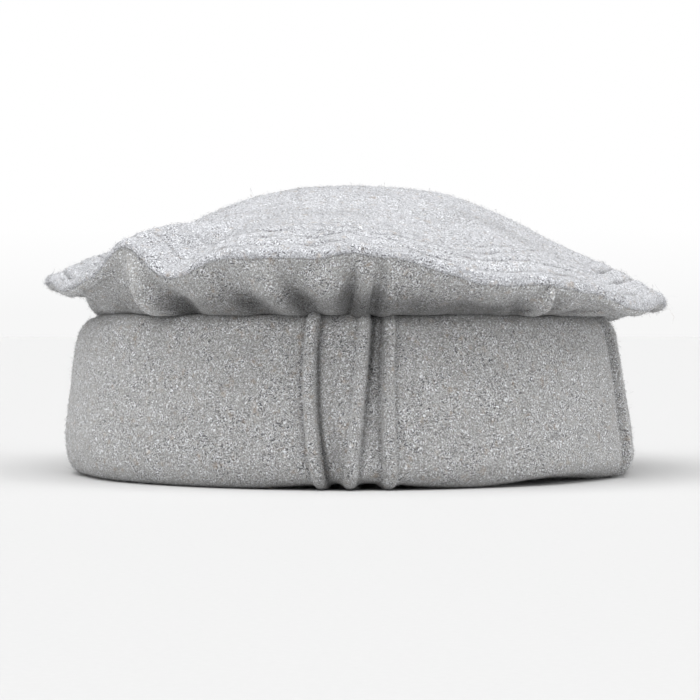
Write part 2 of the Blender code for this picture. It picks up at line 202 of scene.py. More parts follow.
def colour_setting(name, code, description):
    """Setting that holds a colour, given as an sRGB hex value."""
    return FloatVectorProperty(
        name=name, description=description, default=linear(code), subtype="COLOR", min=0.0, max=1.0,
    )


CROWN_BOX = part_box("crown_disc")


class PakolSizes(PropertyGroup):
    """Sizes of the cap"""

    head_round: length_setting("Head round", 0.590, "Length round the head, along the inner face of the wall")
    cloth: length_setting("Cloth", 0.003, "Thickness of one layer of the wool cloth")
    roll_wide: length_setting("Roll width", 0.0185, "From the middle of the wall cloth to the outermost turn")
    band_high: length_setting("Band height", 0.063, "Height of the rolled band")
    front_rise: length_setting("Front rise", 0.0023, "How much higher the band stands along the front")
    crown_round: length_setting(
        "Crown radius", (CROWN_BOX[1][0] - CROWN_BOX[0][0]) / 2.0, "Radius of the crown at its rim",
    )
    crown_high: length_setting("Crown height", 0.0534, "Height of the dome's top above the band")
    rim_up: length_setting("Rim height", 0.009, "Mean height of the rim above the band")
    rim_thick: length_setting("Rim thickness", 0.0038, "Thickness of the crown's turned edge above the seam")
    rim_deep: length_setting("Rim depth", 0.0066, "How far in from the edge the turned edge goes")
    rim_fold: length_setting("Rim fold", 0.011, "Height of the highest fold of the rim")
    neck_fold: length_setting("Neck fold", 0.0068, "Depth of the deepest fold of the neck")
    rib_out: length_setting("Pintuck height", 0.0032, "How far a pintuck stands out of the band")
    rib_half: length_setting("Pintuck half width", 0.0023, "Half the width of a pintuck")
    foot_lift: length_setting("Foot lift", 0.0026, "How far the foot arches up between pintucks")
    crown_shift: length_setting("Crown shift", 0.0024, "How far the crown sits to the side of the band")


class PakolStitches(PropertyGroup):
    """Sewing on the crown"""

    first: length_setting("First row", 0.0056, "From the rim's edge in to the first row of stitches")
    apart: length_setting("Rows apart", 0.0072, "From one row of stitches to the next")
    rows: count_setting("Rows", 4, "Rows of stitches round the crown")
    length: length_setting("Stitch length", 0.0034, "Length of one stitch with its gap")
    thread: length_setting("Thread", 0.0004, "Thickness of the sewing thread")
    dent: length_setting("Dent", 0.0009, "How deep the thread pulls the cloth in")


class PakolColours(PropertyGroup):
    """Colours of the wool"""

    # The crown's ground is lighter and bluer than the band's: partly the cloth, partly painted light for the
    # bluish light from above
    crown_grey: colour_setting("Crown grey", "#C8C9CE", "Ground colour of the crown's wool")
    band_grey: colour_setting("Band grey", "#B4B3B1", "Ground colour of the sleeve's wool")
    dark_fleck: colour_setting("Dark fleck", "#5F5F63", "Dark fibres of the heathered yarn")
    light_fleck: colour_setting("Light fleck", "#F2F4F8", "White fibres of the heathered yarn")
    warm_fleck: colour_setting("Warm fleck", "#A8957F", "The few brown fibres of the heathered yarn")
    thread_grey: colour_setting("Thread", "#B9BABD", "Sewing thread")


class PakolFibres(PropertyGroup):
    """Loose wool fibres"""

    crown_count: count_setting("Crown fibres", 31000, "Fibres on the crown")
    band_count: count_setting("Band fibres", 31000, "Fibres on the band")
    neck_count: count_setting("Neck fibres", 9000, "Fibres on the neck")
    hair_count: count_setting("Long hairs", 160, "Long hairs on the crown, and as many on the band")
    length: length_setting("Fibre length", 0.0019, "Usual length of a fibre")
    width: length_setting("Fibre width", 0.00009, "Thickness of a fibre as drawn")
    lift: length_setting("Nap", 0.0004, "How far the fibres stand off the cloth")


# Shape of the cap

def mix(first, second, share):
    """Point a share of the way from one value to another."""
    return first + (second - first) * share


def ease(share):
    """Share that starts and ends gently, held between nought and one."""
    held = np.clip(share, 0.0, 1.0)
    return held * held * (3.0 - 2.0 * held)


def swell(azimuth, centre, half_width):
    """Share of a round fold's height at an azimuth."""
    off = np.abs((azimuth - centre + 180.0) % 360.0 - 180.0)
    return 0.5 + 0.5 * np.cos(np.pi * np.minimum(off / half_width, 1.0))


def hill(at, centre, reach):
    """Share of a round rise at a place along a line."""
    return 0.5 + 0.5 * np.cos(np.pi * np.minimum(np.abs(at - centre) / reach, 1.0))


def smooth(knots, values, at):
    """Smooth curve through rows of values, read at places along the knots."""
    knots = np.asarray(knots, float)
    values = np.asarray(values, float).reshape(len(knots), -1)
    steps = np.diff(knots)[:, None]
    slopes = np.diff(values, axis=0) / steps
    turns = np.empty_like(values)
    turns[0] = slopes[0]
    turns[-1] = slopes[-1]
    turns[1:-1] = (slopes[:-1] * steps[1:] + slopes[1:] * steps[:-1]) / (steps[1:] + steps[:-1])
    i = np.clip(np.searchsorted(knots, at, side="right") - 1, 0, len(steps) - 1)
    t = ((np.asarray(at) - knots[i]) / steps[i, 0])[:, None]
    held = (2 * t**3 - 3 * t**2 + 1) * values[i] + (3 * t**2 - 2 * t**3) * values[i + 1]
    return held + steps[i] * ((t**3 - 2 * t**2 + t) * turns[i] + (t**3 - t**2) * turns[i + 1])


def lumps(points, grain, seed):
    """Soft lumps of one size over an array of points, between about minus one and one."""
    flat = (points.reshape(-1, 3) / grain + seed).tolist()
    return np.array([noise.noise(spot) for spot in flat]).reshape(points.shape[:-1])


def uneven(points, *rows):
    """Height that lumps of several sizes add over an array of points."""
    return sum(row.height * lumps(points, row.grain, row.seed) for row in rows)


def wall_radius(sizes):
    """Radius of the middle of the wall cloth."""
    return sizes.head_round / (2.0 * np.pi) + sizes.cloth / 2.0


def band_top(sizes, azimuth):
    """Height of the band's top, which stands highest all along the front."""
    ahead = np.cos(np.radians(azimuth))
    level = sizes.band_high * (1.0 - BAND_TOP_LEAN * (1.0 - ahead) / 2.0)
    return level + sizes.front_rise * ease((ahead + 0.1) / 0.7)


def crown_fold(sizes, out, azimuth):
    """Height that the rim's folds and the dome's puffs add to the crown."""
    reach = ease((out - FOLD_START) / (FOLD_FULL - FOLD_START))
    spread = 1.0 + FOLD_SPREAD * (1.0 - out)
    folds = sum(fold.lift * swell(azimuth, fold.azimuth, spread * fold.half_width) for fold in RIM_FOLDS)
    puffs = sum(
        puff.lift * swell(azimuth, puff.azimuth, puff.half_width) * hill(out, puff.out, puff.reach)
        for puff in PUFFS
    )
    return sizes.rim_fold * (reach * folds + puffs)


def rim_height(sizes, azimuth):
    """Height of the middle of the rim without its folds."""
    turn = np.radians(azimuth)
    lean = RIM_LEAN_FRONT * np.cos(turn) + RIM_LEAN_SIDE * np.sin(turn)
    return sizes.band_high + sizes.rim_up * (1.0 + lean)


def crown_height(sizes, out, azimuth):
    """Height of the crown's upper face at shares of its radius, one row to a share."""
    drop = smooth(DOME_OUT, DOME_DROP, np.ravel(out))
    summit = sizes.band_high + sizes.crown_high
    edge = rim_height(sizes, azimuth) + sizes.rim_thick / 2.0
    return mix(summit, edge, drop) + crown_fold(sizes, out, azimuth)


def rib_azimuth(rib, up):
    """Azimuth of a pintuck at a share of the band's height."""
    swing = rib.middle - (rib.top + rib.foot) / 2.0
    return mix(rib.foot, rib.top, up) + swing * 4.0 * up * (1.0 - up)


def rib_half_angle(sizes):
    """Half the width of a pintuck, in degrees round the band."""
    return np.degrees(sizes.rib_half / (wall_radius(sizes) + sizes.roll_wide))


def column_azimuths(step, rib_step):
    """Azimuths of the cross sections, closer together at the pintucks; their number divides by eight."""
    fine = np.linspace(-180.0, 180.0, 14401)
    middles = [rib.middle for rib in RIBS] + FINE_FOLDS
    near = sum(ease(2.0 - np.abs(fine - middle) / PINTUCK_REACH) for middle in middles)
    density = 1.0 / mix(step, rib_step, np.clip(near, 0.0, 1.0))
    total = np.concatenate([[0.0], np.cumsum((density[1:] + density[:-1]) / 2.0 * np.diff(fine))])
    count = int(round(total[-1] / 8.0)) * 8
    return np.interp(np.arange(count) * total[-1] / count, total, fine)


def shifted_azimuth(sizes, azimuth, up):
    """Azimuth of the cross sections at a share of the band's height, where they keep to their pintucks."""
    half = rib_half_angle(sizes)
    places = [-180.0]
    values = [-180.0]
    for rib in RIBS:
        moved = rib_azimuth(rib, up)
        if rib.middle - half - places[-1] > 16.0:
            places.append(rib.middle - half - 9.0)
            values.append(places[-1])
        places += [rib.middle - half, rib.middle + half]
        values += [moved - half, moved + half]
    places += [places[-1] + 9.0, 180.0]
    values += [places[-2], 180.0]
    return np.interp(azimuth, places, values)


def beside(sizes, rib, azimuth, up):
    """How far to the right of a pintuck's middle a place lies, in half widths of the pintuck."""
    off = (azimuth - rib_azimuth(rib, up) + 180.0) % 360.0 - 180.0
    return off / rib_half_angle(sizes)


def ridge(sizes, azimuth, up, shares, spread=1.0):
    """Height of the pintucks over the cloth, with the sewn groove at their two sides."""
    height = 0.0
    for rib, share in zip(RIBS, shares):
        off = np.abs(beside(sizes, rib, azimuth, up)) / spread
        top = np.sqrt(np.clip(1.0 - np.minimum(off, 1.0) ** 3.4, 0.0, 1.0))
        groove = np.exp(-(((off - 1.22) / 0.24) ** 2))
        height = height + share * sizes.rib_out * (top - 0.12 * groove)
    return height


def rim_under(sizes, azimuth):
    """How far the rim's turned edge reaches below its middle: least where the rim droops at the sides."""
    droop = swell(azimuth, 90.0, 34.0) + 0.8 * swell(azimuth, -88.0, 34.0)
    return RIM_UNDER * sizes.rim_thick * (1.0 - 0.5 * droop)


def neck_push(azimuth, up):
    """Share of the deepest fold by which the neck is pushed out at a share of its height."""
    return sum(
        fold.push * swell(azimuth, mix(fold.foot, fold.head, up), fold.half_width) for fold in NECK_FOLDS
    )


def foot_arch(sizes, azimuth):
    """How far the foot lifts off the ground between the front pintucks and in the arch beside them."""
    first = RIBS[0].foot
    last = RIBS[2].foot
    near = swell(azimuth, mix(first, last, 0.5), 2.0 * (last - first))
    on_rib = np.maximum.reduce([swell(azimuth, rib.foot, 2.6) for rib in RIBS[:3]])
    return sizes.foot_lift * (near * (1.0 - on_rib) + swell(azimuth, ARCH_AZIMUTH, ARCH_HALF))


def roll_width(sizes, up, azimuth):
    """Width of the roll at a share of the band's height."""
    right = 0.5 + 0.5 * np.sin(np.radians(azimuth))
    ups = [row.up for row in FACE_ROWS]
    left_share = np.interp(up, ups, [row.left for row in FACE_ROWS])
    right_share = np.interp(up, ups, [row.right for row in FACE_ROWS])
    return sizes.roll_wide * mix(left_share, right_share, right)


# A place on the middle of the sleeve's cloth, for every cross section at once
Station = namedtuple("Station", "radius height up rib neck_rib lean")


def sleeve_stations(sizes, azimuth):
    """Middle of the sleeve's cloth, from the seam under the rim to the end inside the roll."""
    seam_radius = np.full_like(azimuth, sizes.crown_round - SEAM_IN)
    seam_height = rim_height(sizes, azimuth) + crown_fold(sizes, 1.0, azimuth)
    seam_height = seam_height - rim_under(sizes, azimuth) + SEAM_UP
    stations = [
        Station(seam_radius, seam_height, 1.0, 0.0, 0.0, 1.0),
        Station(seam_radius - SEAM_FALL / 4.0, seam_height - SEAM_FALL, 1.0, 0.0, 0.0, 0.98),
    ]
    side = swell(azimuth, 92.0, 62.0) * SIDE_SLACK
    crease_radius = wall_radius(sizes) + CREASE_ACROSS * roll_width(sizes, 1.0, azimuth) + side
    crease_height = band_top(sizes, azimuth) + CREASE_UP * sizes.cloth
    front = ease(1.6 * swell(azimuth, 0.0, 88.0))
    for row in NECK_ROWS:
        push = neck_push(azimuth, row.lean) * sizes.neck_fold * row.fold
        radius = mix(crease_radius, seam_radius, mix(row.out, row.front_out, front)) + FOLD_OUT * push
        up = row.up + LEFT_TAUT * row.up * (1.0 - row.up) * swell(azimuth, -90.0, 50.0)
        height = mix(crease_height, seam_height, mix(up, row.front_up, front)) - FOLD_DOWN * push
        stations.append(Station(radius, height, 1.0, 0.0, row.rib, row.lean))
    stations.append(Station(crease_radius, crease_height, 1.0, 0.0, 0.0, 0.0))
    high = band_top(sizes, azimuth) - sizes.cloth
    face = [Turn(1.0, row.up, row.rib) for row in FACE_ROWS]
    for row in WALL_ROWS + FOOT_ROWS + face + TOP_ROWS + INNER_ROWS:
        radius = wall_radius(sizes) + row.across * roll_width(sizes, row.up, azimuth)
        stations.append(Station(radius, sizes.cloth / 2.0 + row.up * high, row.up, row.rib, 0.0, 0.0))
    return stations


def place(radius, height, azimuth, shift=0.0):
    """Points of a cross section whose middle lies to the side of the crown's."""
    turn = np.radians(azimuth)
    radius, height, turn = np.broadcast_arrays(radius, height, turn)
    return np.stack([radius * np.sin(turn) - shift, -radius * np.cos(turn), height], axis=-1)


# Mesh work

def put(name, data):
    """Object in the scene for a mesh, a light or the camera."""
    made = bpy.data.objects.new(name, data)
    bpy.context.scene.collection.objects.link(made)
    return made


def smooth_mesh(name, points, faces, pressed=None):
    """Object with smooth faces; the last argument, if given, is the shade painted at each point, on the crown
    with its worn patches.
    """
    data = bpy.data.meshes.new(name)
    data.from_pydata(points.tolist(), [], faces)
    if pressed is not None:
        data.attributes.new("pressed", "FLOAT", "POINT").data.foreach_set("value", pressed)
    data.polygons.foreach_set("use_smooth", [True] * len(data.polygons))
    return put(name, data)


def skin(name, rings, pressed, closed, shown):
    """Object through rings of points; a ring has as many points as the last, or twice or half as many.

    The third argument holds one row of values for each ring: the shade painted at each point, with the
    crown's worn patches.
    `shown` is one value for each ring: how thick the loose wool lies on the faces that start there.
    """
    starts = np.cumsum([0] + [len(ring) for ring in rings])
    pairs = [(i, i + 1) for i in range(len(rings) - 1)]
    if closed:
        pairs.append((len(rings) - 1, 0))
    faces = []
    nap = []
    for one, two in pairs:
        a, b = starts[one], starts[two]
        n, m = len(rings[one]), len(rings[two])
        j = np.arange(min(n, m) if min(n, m) > 1 else max(n, m))
        k = (j + 1) % len(j)
        if n == 1 or m == 1:
            tip = np.full(len(j), a if n == 1 else b)
            edge = b if n == 1 else a
            made = [np.stack([tip, edge + j, edge + k], axis=1)]
        elif n == m:
            made = [np.stack([a + j, b + j, b + k, a + k], axis=1)]
        else:
            few, many = (a, b) if m > n else (b, a)
            j2, k2 = 2 * j, 2 * k
            made = [
                np.stack([few + j, many + j2, many + j2 + 1], axis=1),
                np.stack([few + j, many + j2 + 1, few + k], axis=1),
                np.stack([few + k, many + j2 + 1, many + k2], axis=1),
            ]
        for group in made:
            faces += group.tolist()
            nap += [shown[one]] * len(group)
    piece = smooth_mesh(name, np.concatenate(rings), faces, np.concatenate(pressed))
    piece.data.attributes.new("nap", "FLOAT", "FACE").data.foreach_set("value", nap)
    mesh = bmesh.new()
    mesh.from_mesh(piece.data)
    bmesh.ops.recalc_face_normals(mesh, faces=mesh.faces)
    mesh.to_mesh(piece.data)
    mesh.free()
    return piece


def finish_piece(piece, material, node=None):
    """Give a piece its material and its place in the frame."""
    piece.data.materials.append(material)
    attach(piece, "root")
    if node:
        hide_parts(node)
    return piece


def fetch(name):
    """A piece made earlier."""
    piece = bpy.data.objects.get(name)
    if piece is None:
        raise RuntimeError(f"{name} isn't there yet")
    return piece


# Materials

def add(tree, kind, settings=None, links=None):
    """Add one node with its settings and the sockets that feed it."""
    node = tree.nodes.new(kind)
    for name, value in (settings or {}).items():
        if name == "stops":
            while len(node.color_ramp.elements) < len(value):
                node.color_ramp.elements.new(0.5)
            for element, (spot, colour) in zip(node.color_ramp.elements, value):
                element.position = spot
                element.color = (*colour, 1.0)
        elif name == "interpolation":
            node.color_ramp.interpolation = value
        elif isinstance(name, int) or name in node.inputs:
            node.inputs[name].default_value = value
        else:
            setattr(node, name, value)
    for name, source in (links or {}).items():
        tree.links.new(source, node.inputs[name])
    return node


def new_material(name, surface):
    """Material that has only its output and a surface with these settings, its node tree and the surface."""
    material = bpy.data.materials.new(name)
    material.use_nodes = True
    tree = material.node_tree
    tree.nodes.clear()
    shader = add(tree, "ShaderNodeBsdfPrincipled", surface)
    add(tree, "ShaderNodeOutputMaterial", {}, {"Surface": shader.outputs[0]})
    return material, tree, shader


def grey(value):
    """A grey for a ramp that only carries a share."""
    return (value, value, value)


def shade_and_wear_share(tree):
    """Share of the colour that is left under painted shade: the mark on each point, painted shade that on the
    crown takes in its worn patches, and shade painted down in narrow grooves from ambient occlusion.
    """
    # Mark on the mesh: painted shade, on the crown with its worn patches
    pressed = add(tree, "ShaderNodeAttribute", {"attribute_name": "pressed"}).outputs["Fac"]
    # Painted shade down in narrow grooves, from ambient occlusion
    open_share = add(tree, "ShaderNodeAmbientOcclusion", {"samples": 5, "Distance": 0.006}).outputs["AO"]
    dimming = add(
        tree, "ShaderNodeMapRange", {"From Min": 0.0, "From Max": 1.0, "To Min": 1.0, "To Max": 0.22},
        {"Value": pressed},
    ).outputs[0]
    groove = add(
        tree, "ShaderNodeMapRange", {"From Min": 0.20, "From Max": 0.80, "To Min": 0.84, "To Max": 1.0},
        {"Value": open_share},
    ).outputs[0]
    return add(tree, "ShaderNodeMath", {"operation": "MULTIPLY"}, {0: dimming, 1: groove}).outputs[0]


def fulled_wool(name, ground, colours, contrast):
    """Wool cloth, woven and then fulled until its fibres mat and hide the weave.

    To the eye it is quite matt, with a soft bloom at grazing angles. Its yarn is spun from dark, grey and
    white fleece, so short flecks of each lie in all directions, with a few brown patches. Nubs and flecks
    are 0.5 mm across and the flecks twice as long: coarser than real fibres, so that they show.
    """
    bloom = {"Sheen Weight": 0.40, "Sheen Roughness": 0.50}
    material, tree, surface = new_material(
        name, {"Roughness": 0.92, "Specular IOR Level": 0.2, "IOR": 1.54, **bloom},
    )
    where = add(tree, "ShaderNodeTexCoord").outputs["Object"]
    bend = add(tree, "ShaderNodeTexNoise", {"Scale": 1.0 / 0.004, "Detail": 2.0}, {"Vector": where})
    centred = add(
        tree, "ShaderNodeVectorMath", {"operation": "SUBTRACT", 1: (0.5, 0.5, 0.5)},
        {0: bend.outputs["Color"]},
    )
    swirl = add(
        tree, "ShaderNodeVectorMath", {"operation": "MULTIPLY_ADD", 1: (0.0035, 0.0035, 0.0035)},
        {0: centred.outputs[0], 2: where},
    ).outputs[0]
    lays = [
        add(tree, "ShaderNodeMapping", {"Rotation": turn, "Scale": long}, {"Vector": swirl}).outputs[0]
        for turn, long in (((0.4, 0.7, 0.3), (0.45, 1.0, 1.0)), ((-0.5, -0.8, 1.2), (1.0, 0.45, 0.9)))
    ]
    dark, light, nubs, clouds, warm = (
        add(
            tree, "ShaderNodeTexNoise", {"Scale": 1.0 / size, "Detail": detail, "Roughness": rough},
            {"Vector": at},
        ).outputs["Fac"]
        for size, detail, rough, at in (
            (0.00046, 1.0, 0.5, lays[0]), (0.00046, 1.0, 0.5, lays[1]), (0.0005, 2.0, 0.5, swirl),
            (0.009, 3.0, 0.6, where), (0.0032, 2.0, 0.5, where),
        )
    )
    dark_share, light_share, warm_share, patch_share, cloud_share, nub_share = (
        add(
            tree, "ShaderNodeMapRange",
            {"From Min": start, "From Max": end, "To Min": low, "To Max": high}, {"Value": pattern},
        ).outputs[0]
        for pattern, start, end, low, high in (
            (dark, 0.52, 0.62, 0.0, contrast), (light, 0.52, 0.62, 0.0, contrast),
            (warm, 0.60, 0.74, 0.0, 0.45), (clouds, 0.43, 0.61, 0.35, 1.6),
            (clouds, 0.35, 0.65, 0.90, 1.06), (nubs, 0.34, 0.66, 0.65, 1.25),
        )
    )
    dark_share, depth = (
        add(tree, "ShaderNodeMath", {"operation": "MULTIPLY"}, {0: first, 1: second}).outputs[0]
        for first, second in ((dark_share, patch_share), (cloud_share, nub_share))
    )
    # The painted shade darkens the ground colour and its flecks
    depth = add(
        tree, "ShaderNodeMath", {"operation": "MULTIPLY"}, {0: depth, 1: shade_and_wear_share(tree)},
    ).outputs[0]
    body = None
    flecks = (colours.dark_fleck, colours.light_fleck, colours.warm_fleck)
    for share, fleck in zip((dark_share, light_share, warm_share), flecks):
        body = add(
            tree, "ShaderNodeMix", {"data_type": "RGBA", 6: (*ground, 1.0), 7: (*fleck, 1.0)},
            {0: share, 6: body} if body else {0: share},
        ).outputs[2]
    body = add(tree, "ShaderNodeVectorMath", {"operation": "SCALE"}, {0: body, "Scale": depth}).outputs[0]
    relief = add(tree, "ShaderNodeMath", {"operation": "ADD"}, {0: nubs, 1: light}).outputs[0]
    bump = add(tree, "ShaderNodeBump", {"Strength": 1.0, "Distance": 0.0005}, {"Height": relief})
    tree.links.new(body, surface.inputs["Base Color"])
    tree.links.new(bump.outputs[0], surface.inputs["Normal"])
    return material


def loose_wool(name, ground, colours):
    """Loose ends of the fleece that stand off the fulled cloth.

    Each fibre is one colour of the heathered yarn: mostly grey and white, one in seven dark, a few brown.
    They are near 0.03 mm thick in real cloth and drawn three times as thick so that they show.
    """
    material, tree, surface = new_material(
        name, {"Roughness": 0.85, "Sheen Weight": 0.15, "Specular IOR Level": 0.25, "IOR": 1.54},
    )
    chance = add(tree, "ShaderNodeNewGeometry").outputs["Random Per Island"]
    stops = [
        (0.0, colours.dark_fleck), (0.15, ground), (0.60, colours.light_fleck), (0.96, colours.warm_fleck),
    ]
    tint = add(tree, "ShaderNodeValToRGB", {"interpolation": "CONSTANT", "stops": stops}, {"Fac": chance})
    # Each fibre takes the painted shade of the cloth where it grows
    shaded = {0: tint.outputs[0], "Scale": shade_and_wear_share(tree)}
    tint = add(tree, "ShaderNodeVectorMath", {"operation": "SCALE"}, shaded)
    tree.links.new(tint.outputs[0], surface.inputs["Base Color"])
    return material


def spun_thread(name, colour):
    """Wool sewing thread, two plies twisted together: dull, with a faint light and dark along the twist."""
    material, tree, surface = new_material(name, {"Roughness": 0.8, "Specular IOR Level": 0.3, "IOR": 1.54})
    where = add(tree, "ShaderNodeTexCoord").outputs["Object"]
    twist = add(tree, "ShaderNodeTexNoise", {"Scale": 1.0 / 0.0006, "Detail": 2.0}, {"Vector": where})
    dark = tuple(0.8 * part for part in colour)
    tint = add(
        tree, "ShaderNodeValToRGB", {"stops": [(0.35, dark), (0.65, tuple(colour))]},
        {"Fac": twist.outputs["Fac"]},
    )
    tree.links.new(tint.outputs[0], surface.inputs["Base Color"])
    return material


def matt_paper(name):
    """White background paper, rolled smooth: even and without gloss."""
    material, tree, surface = new_material(name, {"Roughness": 0.95, "Specular IOR Level": 0.1})
    where = add(tree, "ShaderNodeTexCoord").outputs["Object"]
    tooth = add(tree, "ShaderNodeTexNoise", {"Scale": 1.0 / 0.002, "Detail": 2.0}, {"Vector": where})
    tint = add(
        tree, "ShaderNodeValToRGB", {"stops": [(0.0, linear("#D0D0D0")), (1.0, linear("#D4D4D4"))]},
        {"Fac": tooth.outputs["Fac"]},
    )
    tree.links.new(tint.outputs[0], surface.inputs["Base Color"])
    return material


# Crown

CROWN_STEP = 0.47       # between the crown's cross sections, in degrees
INNER_RINGS = 60        # rings of the upper face inside the rows of stitches,
OUTER_RINGS = 62        # and across them
MIDDLE_RING = 0.03      # radius of the innermost ring, as a share of the crown's
ROW_STRAY = 0.0008      # how far a row of stitches strays
DENT_HALF = 0.0007      # half the width of the dent along a row of stitches,
STAND_HALF = 0.0022     # and of the rise between two rows


def stitch_radii(sizes, stitches):
    """Radii of the rows of stitches on the crown."""
    return [sizes.crown_round - stitches.first - i * stitches.apart for i in range(stitches.rows)]


def crown_rows(sizes, stitches):
    """Shares of the radius for the rows of the crown's upper face, close together where it is stitched."""
    radius = sizes.crown_round
    sewn = 1.0 - (stitches.first + stitches.apart * stitches.rows) / radius
    last = 1.0 - sizes.rim_thick / 2.0 / radius
    inner = np.linspace(MIDDLE_RING, sewn, INNER_RINGS, endpoint=False)
    outer = np.linspace(sewn, last, OUTER_RINGS)
    return np.concatenate([inner, outer])


def drift(azimuth, seed):
    """Uneven run once round the cap, between minus one and one."""
    turn = np.radians(azimuth)
    return sum(np.cos(beat * turn + beat * seed) for beat in (4, 9, 17, 31)) / 4.0


def dents(sizes, stitches, radius, azimuth):
    """How hard the rows of stitches pull the crown's cloth in, and how much it stands up between them."""
    pull = 0.0
    stand = 0.0
    for row, middle in enumerate(stitch_radii(sizes, stitches)):
        count = round(2.0 * np.pi * middle / stitches.length)
        line = middle + ROW_STRAY * drift(azimuth, row + 1.0)
        # Each stitch pulls; the pull comes and goes along the row, and is weak over the fold at the left
        along = 0.90 + 0.10 * np.cos(np.radians(azimuth) * count + 1.7 * row)
        along = along * np.clip(0.72 + 1.00 * drift(azimuth, row + 6.0), 0.08, 1.40)
        along = along * (1.0 - 0.65 * swell(azimuth, -46.0, 30.0))
        pull = pull + along * np.exp(-(((radius - line) / DENT_HALF) ** 2))
        stand = stand + np.exp(-(((radius - line - stitches.apart / 2.0) / STAND_HALF) ** 2))
    return pull, stand


def crown_surface(sizes, stitches, out, azimuth):
    """Points of the crown's upper face, with its slack, dents and small unevenness."""
    radius = out * sizes.crown_round
    height = crown_height(sizes, out, azimuth)
    points = place(radius, height, azimuth)
    slack = ease((out - 0.05) / 0.3) * uneven(points, CROWN_SLACK) + uneven(points, *CROWN_LUMPS)
    gathers = uneven(place(sizes.crown_round, 0.22 * radius, azimuth), CROWN_GATHERS)
    slack = slack + ease((out - 0.74) / 0.12) * gathers
    pull, stand = dents(sizes, stitches, radius, azimuth)
    return place(radius, height + slack + stitches.dent * (0.35 * stand - pull), azimuth)


def build_crown(context):
    """Round top of the cap, from the middle of its upper face over the rim to the middle below."""
    sizes = context.scene.pakol_sizes
    stitches = context.scene.pakol_stitches
    azimuth = column_azimuths(CROWN_STEP, CROWN_STEP)
    shares = crown_rows(sizes, stitches)
    upper = crown_surface(sizes, stitches, shares[:, None], azimuth[None, :])
    rim = rim_height(sizes, azimuth) + crown_fold(sizes, 1.0, azimuth)
    half = sizes.rim_thick / 2.0
    below = rim_under(sizes, azimuth)
    inner = sizes.crown_round - sizes.rim_deep
    shoulder = upper[-1, :, 2]
    rings, pressed, nap = [], [], []

    def lay(ring, thick, dimming=0.0):
        """Add a ring, how thick the loose wool lies on it and the shade painted on it, with the crown's worn
        patches.
        """
        rings.append(ring)
        nap.append(thick)
        pressed.append(np.zeros(len(ring)) + dimming)

    lay(np.array([[0.0, 0.0, upper[0, :, 2].mean() + 0.0001]]), 0.6)
    for share, ring in zip(shares, upper):
        stride = 8 if share < 0.14 else 4 if share < 0.27 else 2 if share < 0.5 else 1
        pull = dents(sizes, stitches, share * sizes.crown_round, azimuth)[0]
        # Worn patches all over, and one on the fold at the left
        worn = 0.30 * np.clip(lumps(ring, 0.019, 9.3), 0.0, 1.0)
        worn = worn + 0.09 * swell(azimuth, -45.0, 17.0) * hill(share, 0.86, 0.16)
        # Shade painted along the dents of the rows of stitches, added to the worn patches
        lay(ring[::stride], 1.0, np.clip(0.75 * pull + worn, 0.0, 1.0)[::stride])
    for turn in np.radians(np.linspace(78.0, -80.0, 13)):
        radius = sizes.crown_round - half + half * np.cos(turn)
        height = rim + np.sin(turn) * np.where(turn > 0.0, shoulder - rim, below)
        rough = uneven(place(radius, height, azimuth), *RIM_LUMPS)
        lay(place(radius + rough, height, azimuth), 4.0)
    for share in (0.75, 0.45, 0.15, 0.0):
        lay(place(mix(inner, sizes.crown_round - half, share), rim - below, azimuth), 0.8)
    under = shares[shares * sizes.crown_round < inner][::-7]
    lower = crown_height(sizes, under[:, None], azimuth[None, :]) - DOME_LAYERS * sizes.cloth
    lay(place(inner, np.minimum(lower[0], shoulder - sizes.cloth), azimuth), 0.0)
    for share, height in zip(under, lower):
        stride = 2 if share > 0.4 else 4 if share > 0.15 else 8
        lay(place(share * sizes.crown_round, height, azimuth)[::stride], 0.0)
    lay(np.array([[0.0, 0.0, rings[-1][:, 2].mean()]]), 0.0)
    return skin("crown_cloth", rings, pressed, False, nap)


class PAKOL_OT_crown(Operator):
    """Lay the crown's cloth, with its rim, folds and rows of dents"""

    bl_idname = "pakol.crown"
    bl_label = "Crown"

    def execute(self, context):
        colours = context.scene.pakol_colours
        piece = build_crown(context)
        material = fulled_wool("fulled_wool_crown", tuple(colours.crown_grey), colours, 1.2)
        finish_piece(piece, material, "crown_disc")
        return {"FINISHED"}


# Sleeve

SLEEVE_STEP = 0.66      # between the sleeve's cross sections, in degrees,
PINTUCK_STEP = 0.24     # and at the pintucks and narrow folds
FOOT_REACH = 0.05       # the foot's arch reaches this far along the cloth


def band_painted_shade(sizes, azimuth, up):
    """Shade painted on the band: beside the pintucks, in the strips between them, and over the front but for
    the top edge.
    """
    # Painted shade all over the front but for the top edge, so that the sides read lighter, and a little more
    # above half way up
    pressed = 0.27 * mix(0.35, 1.0, swell(azimuth, 0.0, 100.0)) * (1.0 - 0.9 * ease((up - 0.84) / 0.12))
    pressed = pressed + 0.11 * ease((up - 0.45) / 0.30) * swell(azimuth, 0.0, 62.0)
    # Painted shade in the strip left of the third pintuck, most at its top, and left of the second at the
    # foot
    pressed = pressed + 0.34 * hill(azimuth, mix(4.1, 5.4, up), 3.0) * ease((up - 0.15) / 0.8)
    pressed = pressed + 0.30 * hill(azimuth, mix(-2.6, -3.6, up), 3.4) * (1.0 - ease((up - 0.10) / 0.45))
    # Painted shadow at the right of each pintuck and painted shade at its left
    for rib in RIBS:
        off = beside(sizes, rib, azimuth, up)
        pressed = pressed + mix(rib.foot_right, rib.right, up) * np.exp(-(((off - 1.45) / 0.50) ** 2))
        pressed = pressed + rib.left * np.exp(-(((off + 1.45) / 0.50) ** 2))
    return pressed


